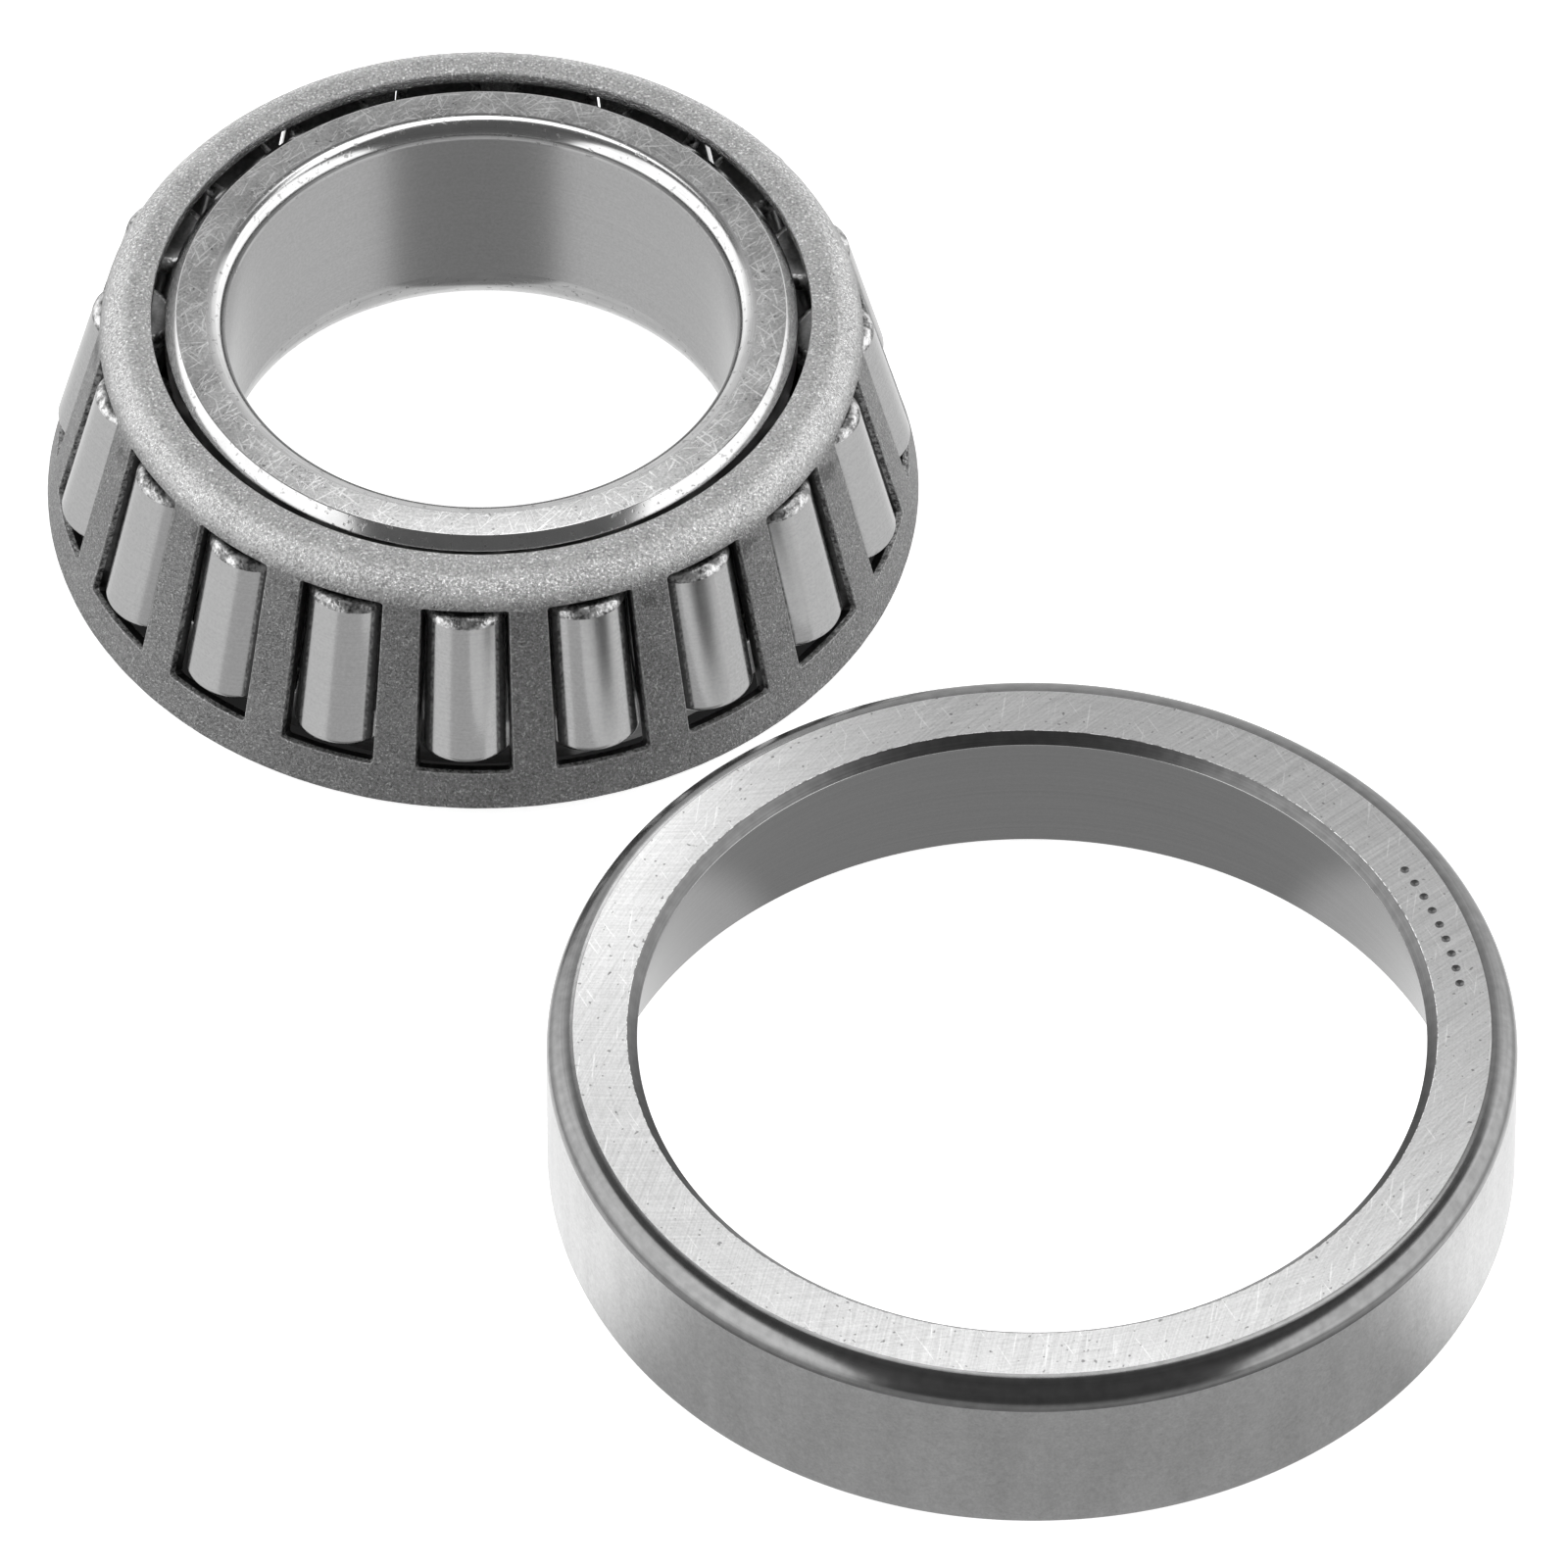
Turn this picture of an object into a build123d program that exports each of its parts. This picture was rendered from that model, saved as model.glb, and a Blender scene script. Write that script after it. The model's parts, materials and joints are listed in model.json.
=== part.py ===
from build123d import *
from math import cos, radians, sin, sqrt, tan
import os

# Single-row tapered roller bearing, standard inch series, taken apart as it is handed over:
# the cone assembly (inner ring, cage and rollers) stands on its back face with its small end
# up, and the loose outer ring lies beside it on the same plane, its thick back face up.
#
# Frame: origin on the bore axis at half the inner ring's width, +Z from the back face to the
# front (small) face, +X to the right, -Y towards the loose outer ring.
# Millimetres and degrees. Heights called "height" are above the inner ring's back face.

# ---- driving dimensions -------------------------------------------------------------------
bore_diameter = 26.988
outside_diameter = 50.292
assembled_width = 14.224         # inner ring's back face to outer ring's back face
inner_ring_width = 14.732
outer_ring_width = 10.668
contact_angle = 13.86            # half-angle of the outer raceway

roller_count = 19
roller_half_angle = 1.55
roller_low_height = 4.15         # where the outer raceway touches a roller's large end
roller_high_height = 12.95       # and its small end
first_roller_azimuth = -92.1
running_clearance = 0.02         # taken off each roller's radius

outer_raceway_small_radius = 20.43
outer_ring_mouth_chamfer = 0.55  # inner edge at the back face
outer_ring_back_radius = 1.38
outer_ring_front_radius = 1.3
outer_ring_lip_radius = 0.25     # inner edge at the front face

inner_ring_back_bore_radius = 3.5
inner_ring_front_bore_radius = 1.03
large_rib_radius = 19.2
large_rib_chamfer = 0.45
small_rib_radius = 16.7
small_rib_chamfer = 0.6
large_rib_gap = 0.06             # to the rollers' large ends
small_rib_gap = 0.25             # to the rollers' small ends
relief_radius = 0.28             # grinding relief at each end of the inner raceway

cage_sheet = 0.85
cage_raceway_gap = 0.37          # cage outer surface to the outer raceway, when assembled
cage_low_height = 1.14
cage_high_height = 14.78
cage_flange_radius = 17.42       # inner edge of the flange at the small end
cage_shoulder_radius = 2.3       # outside of the bend between wall and flange
cage_edge_radius = 0.18
pocket_flank_clearance = 0.14    # beside the roller at the inner surface, in mid-pocket
pocket_gap_small = 0.32
pocket_gap_large = 0.75
pocket_corner_radius = 0.2
punch_overrun = 0.6              # beyond each surface of the sheet

roller_large_corner = 0.42
roller_small_corner = 0.6
roller_large_dimple_radius = 1.25
roller_small_dimple_radius = 1.3
roller_dimple_depth = 0.14

mark_count = 9                   # plain dots on the outer ring's back face
mark_radius = 22.4               # from the ring's axis
mark_azimuth = 19.0
mark_pitch = 2.7
mark_dot_radius = 0.24
mark_depth = 0.09

outer_ring_x = 28.8              # where the loose outer ring lies
outer_ring_y = -47.2

# ---- the shared apex ----------------------------------------------------------------------
# Both raceways and every roller are cones with one apex on the bearing's axis, so the rollers
# roll without slip. Distances along a generator or an axis are measured from that apex.
raceway_edge_height = assembled_width - outer_ring_mouth_chamfer
apex_height = raceway_edge_height + outer_raceway_small_radius / tan(radians(contact_angle))
axis_angle = contact_angle - roller_half_angle
inner_raceway_angle = contact_angle - 2 * roller_half_angle

generator_large = (apex_height - roller_low_height) / cos(radians(contact_angle))
generator_small = (apex_height - roller_high_height) / cos(radians(contact_angle))
axis_large = generator_large * cos(radians(roller_half_angle))
axis_small = generator_small * cos(radians(roller_half_angle))
roller_length = axis_large - axis_small
roller_large_radius = generator_large * sin(radians(roller_half_angle))
roller_small_radius = generator_small * sin(radians(roller_half_angle))

back_face = -inner_ring_width / 2
roller_pitch = 360 / roller_count


def cage_radius(height, depth):
    """Radius of the cage wall, which runs parallel to the outer raceway."""
    angle = radians(contact_angle)
    return (apex_height - height) * tan(angle) - (cage_raceway_gap + depth) / cos(angle)


def rounded_profile(corners):
    """Closed profile from (radius, height, corner radius) points."""
    points = [(radius, height) for radius, height, _ in corners]
    face = make_face(Polyline(*points, close=True))
    for radius, height, corner_radius in corners:
        if corner_radius > 0:
            corner = face.vertices().sort_by_distance((radius, height))[0]
            face = fillet(corner, corner_radius)
    return face


def turned(profile):
    """Turn a radius-height profile about the vertical axis."""
    return revolve(Plane.XZ * profile, Axis.Z)


def save(shape, node):
    shape.label = node
    export_step(shape, f"parts/{node}.step")


# ---- inner ring ---------------------------------------------------------------------------
def inner_ring():
    bore = bore_diameter / 2
    large_face = axis_large + large_rib_gap
    small_face = axis_small - small_rib_gap
    tilt = tan(radians(axis_angle))
    race = radians(inner_raceway_angle)

    # where the raceway would meet each rib's face
    low_distance = large_face / cos(radians(roller_half_angle))
    low_corner = (low_distance * sin(race), apex_height - low_distance * cos(race))
    high_distance = small_face / cos(radians(roller_half_angle))
    high_corner = (high_distance * sin(race), apex_height - high_distance * cos(race))
    large_rib_top = low_corner[1] + (large_rib_radius - low_corner[0]) * tilt
    small_rib_low = high_corner[1] + (small_rib_radius - high_corner[0]) * tilt

    profile = rounded_profile([
        (bore, 0, inner_ring_back_bore_radius),
        (large_rib_radius - large_rib_chamfer, 0, 0),
        (large_rib_radius, large_rib_chamfer, 0),
        (large_rib_radius, large_rib_top, 0.2),
        (*low_corner, 0),
        (*high_corner, 0),
        (small_rib_radius, small_rib_low, 0.15),
        (small_rib_radius, inner_ring_width - small_rib_chamfer, 0),
        (small_rib_radius - small_rib_chamfer, inner_ring_width, 0),
        (bore, inner_ring_width, inner_ring_front_bore_radius),
    ])
    profile -= Pos(*low_corner) * Circle(relief_radius)
    profile -= Pos(*high_corner) * Circle(relief_radius)
    return Pos(0, 0, back_face) * turned(profile)


# ---- outer ring ---------------------------------------------------------------------------
def outer_ring():
    outside = outside_diameter / 2
    mouth = outer_raceway_small_radius + outer_ring_mouth_chamfer
    raceway_drop = outer_ring_width - outer_ring_mouth_chamfer
    lip = outer_raceway_small_radius + raceway_drop * tan(radians(contact_angle))

    ring = turned(rounded_profile([
        (lip, 0, outer_ring_lip_radius),
        (outside, 0, outer_ring_front_radius),
        (outside, outer_ring_width, outer_ring_back_radius),
        (mouth, outer_ring_width, 0),
        (outer_raceway_small_radius, raceway_drop, 0),
    ]))
    dot = Cone(0, mark_dot_radius, mark_depth, align=(Align.CENTER, Align.CENTER, Align.MAX))
    for index in range(mark_count):
        azimuth = mark_azimuth + (index - (mark_count - 1) / 2) * mark_pitch
        ring -= Rot(0, 0, azimuth) * Pos(mark_radius, 0, outer_ring_width) * dot
    return Pos(outer_ring_x, outer_ring_y, back_face) * ring


# ---- rollers ------------------------------------------------------------------------------
def roller():
    """One roller, upright, with the middle of its large end at the origin."""
    large = roller_large_radius - running_clearance
    small = roller_small_radius - running_clearance
    body = turned(rounded_profile([
        (0, 0, 0),
        (large, 0, roller_large_corner),
        (small, roller_length, roller_small_corner),
        (0, roller_length, 0),
    ]))
    body -= dimple(roller_large_dimple_radius)
    body -= Pos(0, 0, roller_length) * Rot(180, 0, 0) * dimple(roller_small_dimple_radius)
    return body


def dimple(radius):
    """Shallow dish that a forged roller's end is left with, opening at z = 0."""
    sphere_radius = (radius ** 2 + roller_dimple_depth ** 2) / (2 * roller_dimple_depth)
    return Pos(0, 0, roller_dimple_depth - sphere_radius) * Sphere(sphere_radius)


def seated(azimuth, distance, angle):
    """Frame whose Z runs up a line through the apex, starting this far from the apex."""
    radius = distance * sin(radians(angle))
    height = apex_height - distance * cos(radians(angle))
    return Rot(0, 0, azimuth) * Pos(radius, 0, back_face + height) * Rot(0, -angle, 0)


# ---- cage ---------------------------------------------------------------------------------
def cage_blank():
    """The pressed cup of sheet, before the pockets are punched."""
    angle = radians(contact_angle)
    flange_underside = cage_high_height - cage_sheet
    # the large end is cut square to the wall
    low_radius = cage_radius(cage_low_height, 0)
    low_inner_radius = low_radius - cage_sheet * cos(angle)
    low_inner_height = cage_low_height - cage_sheet * sin(angle)

    return turned(rounded_profile([
        (cage_flange_radius, flange_underside, cage_edge_radius),
        (cage_radius(flange_underside, cage_sheet), flange_underside,
         cage_shoulder_radius - cage_sheet),
        (low_inner_radius, low_inner_height, cage_edge_radius),
        (low_radius, cage_low_height, cage_edge_radius),
        (cage_radius(cage_high_height, 0), cage_high_height, cage_shoulder_radius),
        (cage_flange_radius, cage_high_height, cage_edge_radius),
    ]))


def pocket_half_width(distance, depth):
    """Half the pocket's width, this far from the apex and this deep in the sheet.

    The flanks lean in, so that the roller can't fall out between them: the pocket is as wide
    as the roller at the outer surface, and just clears its chord at the inner surface.
    """
    roller_radius = distance * sin(radians(roller_half_angle))
    reach = cage_raceway_gap + cage_sheet
    inner = sqrt(reach * (2 * roller_radius - reach)) + pocket_flank_clearance
    return roller_radius + (inner - roller_radius) * depth / cage_sheet


def pocket_outline(depth):
    """Trapezoid that tapers as the roller does, in the seated frame of the outer raceway."""
    low_half = pocket_half_width(generator_large + pocket_gap_large, depth)
    high_half = pocket_half_width(generator_small - pocket_gap_small, depth)
    low = -pocket_gap_large
    high = generator_large - generator_small + pocket_gap_small
    outline = make_face(Polyline(
        (-low_half, low),
        (low_half, low),
        (high_half, high),
        (-high_half, high),
        close=True,
    ))
    outline = fillet(outline.vertices(), pocket_corner_radius)
    return Plane.YZ.offset(-cage_raceway_gap - depth) * outline


def cage(azimuths):
    blank = Pos(0, 0, back_face) * cage_blank()
    punch = loft([pocket_outline(cage_sheet + punch_overrun), pocket_outline(-punch_overrun)])
    frames = [seated(azimuth, generator_large, contact_angle) for azimuth in azimuths]
    return blank - [frame * punch for frame in frames]


# ---- write one file per piece -------------------------------------------------------------
os.makedirs("parts", exist_ok=True)
roller_azimuths = [first_roller_azimuth + index * roller_pitch for index in range(roller_count)]

save(inner_ring(), "inner_ring")
save(cage(roller_azimuths), "cage")
save(outer_ring(), "outer_ring")
for number, azimuth in enumerate(roller_azimuths, start=1):
    save(seated(azimuth, axis_large, axis_angle) * roller(), f"roller_{number:02d}")
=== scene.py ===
import json
import math
from collections import namedtuple

import bmesh
import bpy
from mathutils import Matrix, Vector, noise


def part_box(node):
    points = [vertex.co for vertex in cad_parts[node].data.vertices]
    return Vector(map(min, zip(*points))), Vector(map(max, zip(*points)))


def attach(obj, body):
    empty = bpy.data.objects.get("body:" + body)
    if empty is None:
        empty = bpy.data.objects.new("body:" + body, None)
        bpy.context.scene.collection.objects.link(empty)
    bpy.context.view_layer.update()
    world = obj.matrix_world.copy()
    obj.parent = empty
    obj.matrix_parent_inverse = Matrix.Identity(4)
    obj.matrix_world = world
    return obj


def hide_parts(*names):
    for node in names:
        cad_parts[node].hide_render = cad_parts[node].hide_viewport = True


# A tapered roller bearing taken apart: the inner ring with its cage and rollers, and the outer
# ring lying beside it. Each CAD solid is replaced by the same shape in a finer mesh, with
# rounded edges and its own finish on every surface: ground, polished, turned, pressed or cut.

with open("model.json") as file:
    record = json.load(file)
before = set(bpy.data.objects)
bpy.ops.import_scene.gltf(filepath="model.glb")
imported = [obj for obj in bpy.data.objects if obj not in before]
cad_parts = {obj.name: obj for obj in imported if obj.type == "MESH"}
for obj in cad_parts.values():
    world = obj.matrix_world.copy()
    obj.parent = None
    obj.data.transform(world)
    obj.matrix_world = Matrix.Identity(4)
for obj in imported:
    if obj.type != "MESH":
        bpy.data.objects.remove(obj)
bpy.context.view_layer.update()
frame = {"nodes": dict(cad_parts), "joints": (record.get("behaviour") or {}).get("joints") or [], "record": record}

MM = 0.001


# ---- sizes in millimetres, from the frame -------------------------------------------------
def mount(name):
    return next(m for m in frame["record"]["mounts"] if m["name"] == name)


def joint(name):
    return next(j for j in frame["joints"] if j["name"] == name)


def height_span(node):
    low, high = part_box(node)
    return low.z / MM, high.z / MM


ROLLERS = sorted(name for name in frame["nodes"] if name.startswith("roller_"))
BORE = mount("shaft_bore")["dims"]["r_mm"]
OUTSIDE = mount("housing_outside")["dims"]["r_mm"]
OUTER_RING_PLACE = Vector(joint("outer_ring_spin")["pos_m"])
RING_LOW, RING_HIGH = height_span("inner_ring")
OUTER_LOW, OUTER_HIGH = height_span("outer_ring")
CAGE_HIGH = height_span("cage")[1]
FLOOR = RING_LOW

# One roller's seat gives the tilt of the roller axes, and the apex where all the axes meet.
seat = joint(ROLLERS[0] + "_spin")
seat_radius = math.hypot(seat["pos_m"][0], seat["pos_m"][1]) / MM
FIRST_AZIMUTH = math.atan2(seat["pos_m"][1], seat["pos_m"][0])
AXIS_ANGLE = math.acos(seat["axis"][2])
AXIS_LARGE = seat_radius / math.sin(AXIS_ANGLE)
APEX = seat["pos_m"][2] / MM + AXIS_LARGE * math.cos(AXIS_ANGLE)

# ---- sizes in millimetres that the frame doesn't state ------------------------------------
ROLLER_HALF_ANGLE = math.radians(1.55)
ROLLER_LENGTH = 9.061
RUNNING_CLEARANCE = 0.02
ROLLER_LARGE_CORNER = 0.42
ROLLER_SMALL_CORNER = 0.6
DIMPLE_RADIUS = 1.28             # of the shallow dish in each end of a roller
DIMPLE_DEPTH = 0.14

LARGE_RIB = 19.2
LARGE_RIB_CHAMFER = 0.45
LARGE_RIB_GAP = 0.06             # to the rollers' large ends
LARGE_RIB_EDGE = 0.2
SMALL_RIB = 16.7
SMALL_RIB_CHAMFER = 0.6
SMALL_RIB_GAP = 0.25
SMALL_RIB_EDGE = 0.15
CHAMFER_EDGE = 0.1               # at both ends of the small rib's chamfer
BACK_BORE_ROUNDING = 3.5
FRONT_BORE_ROUNDING = 1.03
RELIEF = 0.28                    # groove at each end of the inner raceway

RACEWAY_SMALL = 20.43            # the outer raceway's radius at its chamfer
MOUTH_CHAMFER = 0.55
OUTER_BACK_ROUNDING = 1.38
OUTER_FRONT_ROUNDING = 1.3
OUTER_LIP_ROUNDING = 0.25
STONED_EDGE = 0.05               # a hard part's edge after deburring

MARK_COUNT = 9                   # plain dots on the outer ring's back face
MARK_RADIUS = 22.4
MARK_AZIMUTH = math.radians(19)
MARK_PITCH = math.radians(2.7)
MARK_DOT = 0.24
MARK_DEPTH = 0.09
MARK_SEGMENTS = 24

SHEET = 0.85                     # the cage's thickness
SHEET_GAP = 0.37                 # between the cage and the outer raceway's cone
SHEET_EDGE = 0.18
CAGE_LOW = 1.14                  # the cage's wide edge, above the inner ring's back face
FLANGE_INNER = 17.42
SHOULDER = 2.3                   # outside radius of the bend between wall and flange
POCKET_GAP_LARGE = 0.75
POCKET_GAP_SMALL = 0.32
POCKET_FLANK = 0.14
POCKET_CORNER = 0.2
POCKET_ROLLOVER = 0.07           # soft edge that the punch leaves
BURR_DEPTH = 0.36                # of the torn part of a punched flank
CUT_DEPTH = 0.7 * SHEET
WAVES = (0.012, 0.9), (0.006, 3.1)   # unevenness of pressed sheet: height, and waves per mm

CONTACT_ANGLE = AXIS_ANGLE + ROLLER_HALF_ANGLE
RACE_ANGLE = AXIS_ANGLE - ROLLER_HALF_ANGLE
PITCH = 2 * math.pi / len(ROLLERS)
AXIS_SMALL = AXIS_LARGE - ROLLER_LENGTH
GENERATOR_LARGE = AXIS_LARGE / math.cos(ROLLER_HALF_ANGLE)
GENERATOR_SMALL = AXIS_SMALL / math.cos(ROLLER_HALF_ANGLE)


# ---- shader graphs ------------------------------------------------------------------------
class Graph:
    """Short calls for the shader nodes. Every length in them is in millimetres."""

    def __init__(self, tree):
        self.tree = tree
        tree.nodes.clear()

    def node(self, kind, inputs=(), **settings):
        made = self.tree.nodes.new(kind)
        for key, value in settings.items():
            setattr(made, key, value)
        for key, value in dict(inputs).items():
            if isinstance(value, bpy.types.NodeSocket):
                self.tree.links.new(value, made.inputs[key])
            else:
                made.inputs[key].default_value = value
        return made

    def math(self, operation, *values):
        return self.node("ShaderNodeMath", enumerate(values), operation=operation).outputs[0]

    def add(self, *values):
        total = values[0]
        for value in values[1:]:
            total = self.math("ADD", total, value)
        return total

    def times(self, *values):
        total = values[0]
        for value in values[1:]:
            total = self.math("MULTIPLY", total, value)
        return total

    def mix(self, share, first, second):
        """first where share is 0, second where it is 1."""
        return self.add(first, self.times(share, self.math("SUBTRACT", second, first)))

    def ramp(self, value, low, high, to_low=0.0, to_high=1.0):
        made = self.node("ShaderNodeMapRange", {
            "Value": value, "From Min": low, "From Max": high, "To Min": to_low, "To Max": to_high,
        }, interpolation_type="SMOOTHSTEP")
        return made.outputs[0]

    def vector(self, x, y, z):
        return self.node("ShaderNodeCombineXYZ", {"X": x, "Y": y, "Z": z}).outputs[0]

    def split(self, vector):
        made = self.node("ShaderNodeSeparateXYZ", {"Vector": vector})
        return made.outputs[0], made.outputs[1], made.outputs[2]

    def place(self):
        """The point on the piece, and a number that differs from piece to piece."""
        point = self.node("ShaderNodeTexCoord").outputs["Object"]
        scaled = self.node("ShaderNodeVectorMath", {0: point, "Scale": 1 / MM}, operation="SCALE")
        number = self.node("ShaderNodeObjectInfo").outputs["Object Index"]
        return scaled.outputs[0], number

    def shifted(self, point, number, step):
        """The point moved up by a step per piece, so that equal pieces differ."""
        return self.add_vectors(point, self.vector(0, 0, self.times(number, step)))

    def add_vectors(self, first, second):
        return self.node("ShaderNodeVectorMath", {0: first, 1: second}, operation="ADD").outputs[0]

    def noise(self, vector, scale, detail=2.0, roughness=0.5):
        made = self.node("ShaderNodeTexNoise", {
            "Vector": vector, "Scale": scale, "Detail": detail, "Roughness": roughness,
        }, noise_dimensions="3D")
        return made.outputs[0]

    def swing(self, value, amount):
        """value's swing about its middle, times amount."""
        return self.times(self.math("SUBTRACT", value, 0.5), amount)

    def radius(self, point):
        """Distance from the piece's axis."""
        flat = self.node("ShaderNodeVectorMath", {0: point, 1: (1, 1, 0)}, operation="MULTIPLY")
        length = self.node("ShaderNodeVectorMath", {0: flat.outputs[0]}, operation="LENGTH")
        return self.math("MAXIMUM", length.outputs["Value"], 0.01)

    def round_and_round(self, point, fineness, stretch):
        """Fine lines that run round the piece's axis: fineness per mm across them."""
        x, y, z = self.split(point)
        radius = self.radius(point)
        across = self.times(self.add(radius, z), fineness)
        east = self.times(self.math("DIVIDE", x, radius), stretch)
        north = self.times(self.math("DIVIDE", y, radius), stretch)
        return self.noise(self.vector(across, east, north), 1.0)

    def arcs(self, point, centre, fineness, stretch, seed):
        """Fine lines on arcs about a centre that lies off the piece's axis."""
        moved = self.node("ShaderNodeVectorMath", {0: point, 1: centre}, operation="SUBTRACT")
        x, y, _ = self.split(moved.outputs[0])
        radius = self.radius(moved.outputs[0])
        turn = self.math("ARCTAN2", y, x)
        lines = self.vector(self.times(radius, fineness), self.times(turn, stretch), seed)
        return self.noise(lines, 1.0)

    def strokes(self, point, heading, fineness, length, threshold, seed):
        """Straight scratches on a flat face, 1 in a scratch. heading is in degrees."""
        x, y, _ = self.split(point)
        turn = math.radians(heading)
        along = self.add(self.times(x, math.cos(turn)), self.times(y, math.sin(turn)))
        across = self.add(self.times(x, -math.sin(turn)), self.times(y, math.cos(turn)))
        flat = self.vector(self.times(along, 1 / length), self.times(across, fineness), seed)
        return self.ramp(self.noise(flat, 1.0, 1.0), threshold, threshold + 0.06)


Look = namedtuple("Look", "tone roughness height brushed", defaults=[0.0])


def steel(name, recipe):
    """A bare-metal material from a recipe that gives its tone, roughness and surface height."""
    material = bpy.data.materials.new(name)
    material.use_nodes = True
    graph = Graph(material.node_tree)
    look = recipe(graph, *graph.place())
    bump = graph.node("ShaderNodeBump", {"Height": look.height, "Distance": MM, "Strength": 1.0})
    inputs = {
        "Base Color": look.tone, "Metallic": 1.0, "Roughness": look.roughness,
        "Normal": bump.outputs[0], "Anisotropic": look.brushed,
    }
    if look.brushed:
        tangent = graph.node("ShaderNodeTangent", direction_type="RADIAL", axis="Z")
        inputs["Tangent"] = tangent.outputs[0]
    surface = graph.node("ShaderNodeBsdfPrincipled", inputs)
    graph.node("ShaderNodeOutputMaterial", {"Surface": surface.outputs[0]})
    return material


def scratched(graph, point, sets):
    """The deepest of several sets of scratches: (heading, fineness, length, threshold) each.

    A higher threshold leaves fewer scratches.
    """
    deepest = 0.0
    for index, (heading, fineness, length, threshold) in enumerate(sets):
        strokes = graph.strokes(point, heading, fineness, length, threshold, 11.0 * index)
        deepest = graph.math("MAXIMUM", deepest, strokes)
    return deepest


def ground_face(graph, point, number):
    """The inner ring's end faces: ground flat, then scratched every way in handling."""
    cloud = graph.noise(point, 0.45, 3.0)
    grain = graph.noise(point, 6.5, 3.0, 0.65)
    lines = graph.round_and_round(point, 7.0, 2.0)
    scratches = scratched(graph, point, (
        (38, 6.0, 2.2, 0.62), (-44, 6.0, 2.6, 0.63), (68, 7.0, 1.4, 0.64),
        (-75, 6.0, 2.4, 0.64), (4, 8.0, 1.8, 0.65), (52, 5.0, 3.6, 0.65)))
    pits = graph.ramp(graph.noise(point, 4.0, 2.0), 0.66, 0.72)
    tone = graph.add(0.45, graph.swing(cloud, 0.26), graph.swing(grain, 0.60),
                     graph.swing(lines, 0.14), graph.times(scratches, 0.22),
                     graph.times(pits, -0.22))
    roughness = graph.add(0.30, graph.swing(cloud, 0.2))
    height = graph.add(graph.times(lines, 0.0010), graph.times(grain, 0.0060),
                       graph.times(scratches, -0.0030))
    return Look(tone, roughness, height)


def ground_back(graph, point, number):
    """The outer ring's faces: the wheel's crossing arcs, with fine nicks."""
    one_way = graph.arcs(point, (58, -34, 0), 9.0, 9.0, 3.0)
    other_way = graph.arcs(point, (-20, 62, 0), 7.0, 8.0, 8.0)
    fine = graph.round_and_round(point, 10.0, 3.0)
    grain = graph.noise(point, 7.0, 2.0)
    scratches = scratched(graph, point, ((84, 5.0, 4.0, 0.67), (-62, 6.0, 3.0, 0.68)))
    nicks = graph.ramp(graph.noise(point, 3.0, 1.0), 0.70, 0.74)
    tone = graph.add(0.60, graph.swing(one_way, 0.30), graph.swing(other_way, 0.22),
                     graph.swing(fine, 0.14), graph.swing(grain, 0.22),
                     graph.times(scratches, 0.14), graph.times(nicks, -0.30))
    height = graph.add(graph.times(one_way, 0.0022), graph.times(other_way, 0.0016),
                       graph.times(grain, 0.0020), graph.times(nicks, -0.006))
    return Look(tone, 0.30, height)


def bore_wall(graph, point, number):
    """Honed and satin: fine rings, and a soft grain."""
    lines = graph.round_and_round(point, 14.0, 0.8)
    grain = graph.noise(point, 7.0, 2.0)
    tone = graph.add(0.56, graph.swing(grain, 0.16), graph.swing(lines, 0.08))
    height = graph.add(graph.times(lines, 0.0010), graph.times(grain, 0.0008))
    return Look(tone, 0.24, height, 0.6)


def raceway(graph, point, number):
    """The smoothest surface, superfinished, with the faintest rings."""
    lines = graph.round_and_round(point, 11.0, 0.6)
    grain = graph.noise(point, 8.0, 1.0)
    tone = graph.add(0.57, graph.swing(lines, 0.10), graph.swing(grain, 0.08))
    height = graph.add(graph.times(lines, 0.0009), graph.times(grain, 0.0006))
    return Look(tone, 0.22, height, 0.5)


def polished_edge(graph, point, number):
    """A chamfer or corner radius, tumbled smooth, with a few nicks and stains."""
    lines = graph.round_and_round(point, 6.0, 1.5)
    stains = graph.noise(point, 0.8, 3.0)
    nicks = graph.ramp(graph.noise(point, 3.2, 2.0), 0.60, 0.70)
    tone = graph.add(0.60, graph.swing(lines, 0.30), graph.swing(stains, 0.20),
                     graph.times(nicks, -0.20))
    roughness = graph.add(0.16, graph.times(nicks, 0.15))
    height = graph.add(graph.times(lines, 0.0022), graph.times(nicks, -0.003))
    return Look(tone, roughness, height)


def satin(graph, point, number):
    """The ribs and reliefs, turned and left dull."""
    lines = graph.round_and_round(point, 8.0, 1.2)
    tone = graph.add(0.34, graph.swing(lines, 0.24))
    return Look(tone, 0.36, graph.times(lines, 0.003))


def outside_wall(graph, point, number):
    """Centreless-ground outside: an even satin, faintly clouded in upright streaks."""
    x, y, z = graph.split(point)
    streaks = graph.noise(graph.vector(x, y, graph.times(z, 0.25)), 0.55, 2.0)
    mottle = graph.noise(point, 2.4, 4.0, 0.7)
    grain = graph.noise(point, 7.0, 2.0)
    tone = graph.add(0.56, graph.swing(streaks, 0.16), graph.swing(mottle, 0.26),
                     graph.swing(grain, 0.22))
    height = graph.add(graph.times(mottle, 0.005), graph.times(grain, 0.0022))
    return Look(tone, 0.36, height)


def turned_edge(graph, point, number):
    """The outer ring's corner, smooth and rather dark, with fine turning lines."""
    lines = graph.round_and_round(point, 12.0, 1.0)
    scale = graph.noise(point, 1.6, 3.0)
    tone = graph.add(0.25, graph.swing(lines, 0.14), graph.swing(scale, 0.14))
    return Look(tone, 0.20, graph.times(lines, 0.003))


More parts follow.
